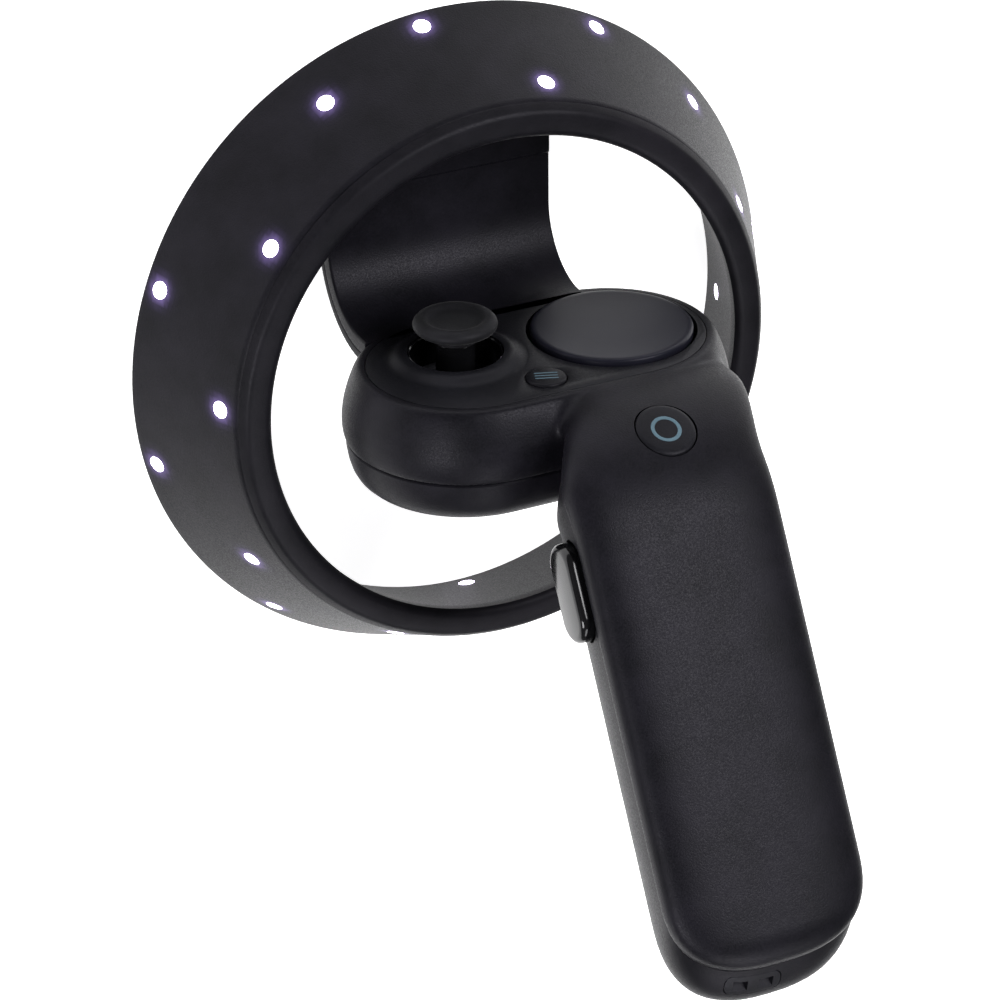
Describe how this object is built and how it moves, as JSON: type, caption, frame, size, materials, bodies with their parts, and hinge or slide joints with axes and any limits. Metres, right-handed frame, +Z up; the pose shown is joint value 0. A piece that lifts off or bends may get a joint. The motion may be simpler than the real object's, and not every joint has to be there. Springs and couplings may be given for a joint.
{
  "type": "vr motion controller",
  "caption": "Hand controller with a tracking ring, thumbstick, touchpad, trigger, grip button and a battery handle, standing on its ring.",
  "frame": {"origin": "centre of the bottom of the bounding box, on the surface that the ring's wide edge stands on", "axes": "+Z up along the tracking ring's axis, -Y the way the control plate faces, +X to the thumbstick side"},
  "size_m": [0.12, 0.1392, 0.1121],
  "materials": {
    "shell_black": "fine spark-eroded texture",
    "shell_satin": "smooth satin",
    "control_satin": "satin",
    "touch_surface": "smooth satin",
    "stick_rubber": "fine matt rubber",
    "gloss_black": "polished",
    "led_lens": "lit diffuser",
    "legend_grey": "printed ring",
    "board_green": "solder mask",
    "flex_amber": "polyimide film",
    "steel": "plated",
    "inner_plastic": "moulded",
    "cell_sleeve": "printed film"
  },
  "bodies": {
    "casing": {"ring_outer_shell": "shell_black", "ring_inner_shell": "shell_satin", "outer_led_lenses": "led_lens", "inner_led_lenses": "led_lens", "led_flex_strip": "flex_amber", "neck_front_cover": "shell_black", "neck_back_cover": "shell_satin", "neck_flex_cable": "flex_amber", "face_shell": "shell_black", "head_lower_shell": "shell_satin", "handle_body": "shell_satin", "control_plate": "control_satin", "touchpad_switch": "steel", "stick_housing": "steel", "menu_switch": "steel", "home_switch": "steel", "button_board": "board_green", "grip_switch": "steel", "trigger_pin": "steel", "trigger_spring": "steel", "trigger_frame": "inner_plastic", "main_board": "board_green", "radio_shield": "steel", "vibration_motor": "steel", "battery_tray": "inner_plastic", "battery_cell_left": "cell_sleeve", "battery_cell_right": "cell_sleeve", "spring_contacts": "steel", "plate_contacts": "steel", "pairing_switch": "steel", "strap_bar": "inner_plastic", "shell_screws": "steel"},
    "touchpad": {"touchpad_cap": "touch_surface", "touchpad_sensor": "board_green"},
    "stick_click_frame": {"stick_carrier": "inner_plastic"},
    "stick_ring": {"stick_gimbal": "inner_plastic"},
    "stick": {"stick_cap": "stick_rubber", "stick_stem": "gloss_black", "stick_trunnions": "gloss_black"},
    "menu_key": {"menu_button": "control_satin"},
    "home_key": {"home_button": "control_satin", "home_button_ring": "legend_grey"},
    "grip_key": {"grip_button": "gloss_black"},
    "trigger_lever": {"trigger": "control_satin", "trigger_magnet": "steel"},
    "pairing_key": {"pairing_button": "inner_plastic"},
    "door": {"battery_door": "shell_satin"}
  },
  "joints": [
    {"name": "touchpad_click", "type": "slide", "parent": "casing", "child": "touchpad", "axis": [0, 1, 0], "range_m": [0, 0.0004], "stiffness_N_per_m": 3000},
    {"name": "stick_click", "type": "slide", "parent": "casing", "child": "stick_click_frame", "axis": [0, 1, 0], "range_m": [0, 0.0005], "stiffness_N_per_m": 3000},
    {"name": "stick_tilt_forward", "type": "hinge", "parent": "stick_click_frame", "child": "stick_ring", "pos_m": [0.0136, -0.0121, 0.0304], "axis": [1, 0, 0], "range_deg": [-13, 13], "stiffness_Nm_per_rad": 0.05},
    {"name": "stick_tilt_side", "type": "hinge", "parent": "stick_ring", "child": "stick", "pos_m": [0.0136, -0.0121, 0.0304], "axis": [0, 0, 1], "range_deg": [-13, 13], "stiffness_Nm_per_rad": 0.05},
    {"name": "menu_press", "type": "slide", "parent": "casing", "child": "menu_key", "axis": [0, 1, 0], "range_m": [0, 0.0005], "stiffness_N_per_m": 1500},
    {"name": "home_press", "type": "slide", "parent": "casing", "child": "home_key", "axis": [0, 0.891, -0.454], "range_m": [0, 0.0005], "stiffness_N_per_m": 1500},
    {"name": "grip_press", "type": "slide", "parent": "casing", "child": "grip_key", "axis": [-1, 0, 0], "range_m": [0, 0.0012], "stiffness_N_per_m": 1200},
    {"name": "trigger_pull", "type": "hinge", "parent": "casing", "child": "trigger_lever", "pos_m": [-0.0085, -0.0056, 0.0209], "axis": [1, 0, 0], "range_deg": [0, 17], "stiffness_Nm_per_rad": 0.08, "springref_deg": -8.59},
    {"name": "pairing_press", "type": "slide", "parent": "casing", "child": "pairing_key", "axis": [0, -0.5, 0.866], "range_m": [0, 0.0004], "stiffness_N_per_m": 1500},
    {"name": "battery_door_slide", "type": "slide", "parent": "casing", "child": "door", "axis": [0, 0.866, 0.5], "range_m": [0, 0.06]}
  ]
}
